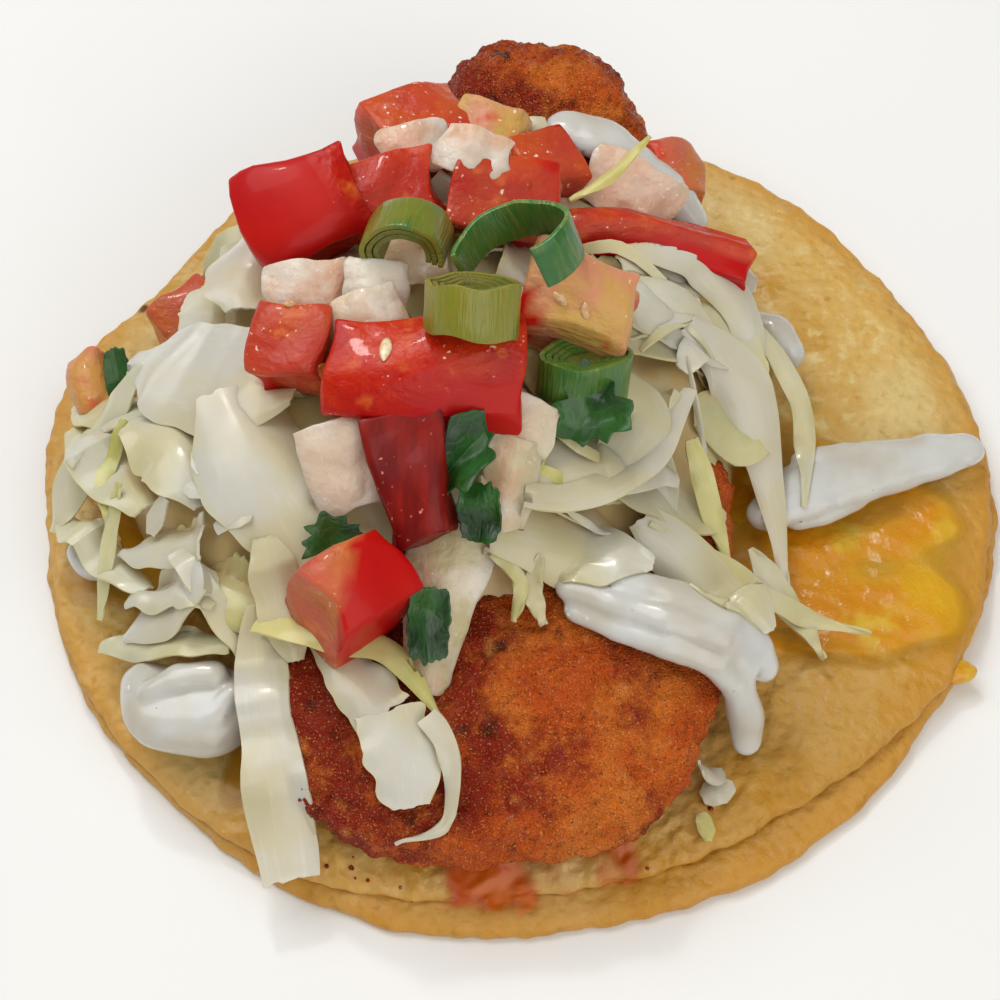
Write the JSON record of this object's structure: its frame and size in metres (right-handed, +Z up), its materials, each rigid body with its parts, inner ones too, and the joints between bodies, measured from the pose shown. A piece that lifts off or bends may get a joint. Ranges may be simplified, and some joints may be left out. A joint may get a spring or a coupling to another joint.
{
  "type": "open-faced fish taco",
  "caption": "Open-faced taco: stacked corn tortillas with melted cheese, a fried fish fillet, crema, a heap of shredded cabbage and a fresh tomato, onion and cilantro salsa.",
  "frame": {"origin": "middle of the flat underside of the lower tortilla", "axes": "+Z up from the tortilla, +Y towards the back of the taco along the fillet, +X to its right"},
  "size_m": [0.1406, 0.1411, 0.0602],
  "materials": {
    "corn_tortilla": "warm yellow soft corn dough with toasted blotches",
    "cheese": "melted cheddar with an oily gloss",
    "fried_crust": "crisp orange-brown breaded crust",
    "crema": "smooth white sour cream sauce",
    "tomato": "wet ripe red tomato",
    "pale_tomato": "wet pale tomato flesh",
    "green_onion": "fresh green onion slices",
    "onion": "translucent raw onion, faintly pink",
    "cilantro": "dark green cilantro leaf",
    "cabbage": "crisp pale shredded cabbage"
  },
  "bodies": {
    "root": {"tortilla_bottom": "corn_tortilla", "tortilla_top": "corn_tortilla", "melted_cheese": "cheese", "cheese_tip": "cheese", "fish_fillet": "fried_crust", "crema_front_left": "crema", "crema_left": "crema", "crema_front_right": "crema", "crema_stripe": "crema", "crema_knob": "crema", "crema_back": "crema", "tomato_1": "tomato", "tomato_2": "tomato", "tomato_3": "tomato", "tomato_4": "tomato", "tomato_5": "tomato", "tomato_6": "pale_tomato", "tomato_7": "tomato", "tomato_8": "tomato", "tomato_9": "tomato", "tomato_10": "pale_tomato", "tomato_11": "tomato", "tomato_12": "tomato", "tomato_13": "tomato", "tomato_14": "pale_tomato", "tomato_15": "pale_tomato", "green_onion_1": "green_onion", "green_onion_2": "green_onion", "green_onion_3": "green_onion", "green_onion_4": "green_onion", "onion_1": "onion", "onion_2": "onion", "onion_3": "onion", "onion_4": "onion", "onion_5": "onion", "onion_6": "onion", "onion_7": "onion", "onion_8": "onion", "onion_9": "onion", "onion_10": "onion", "onion_11": "onion", "cilantro_1": "cilantro", "cilantro_2": "cilantro", "cilantro_3": "cilantro", "cilantro_4": "cilantro", "cilantro_5": "cilantro", "cilantro_6": "cilantro", "cilantro_7": "cilantro", "cabbage_heap": "cabbage"}
  },
  "joints": []
}
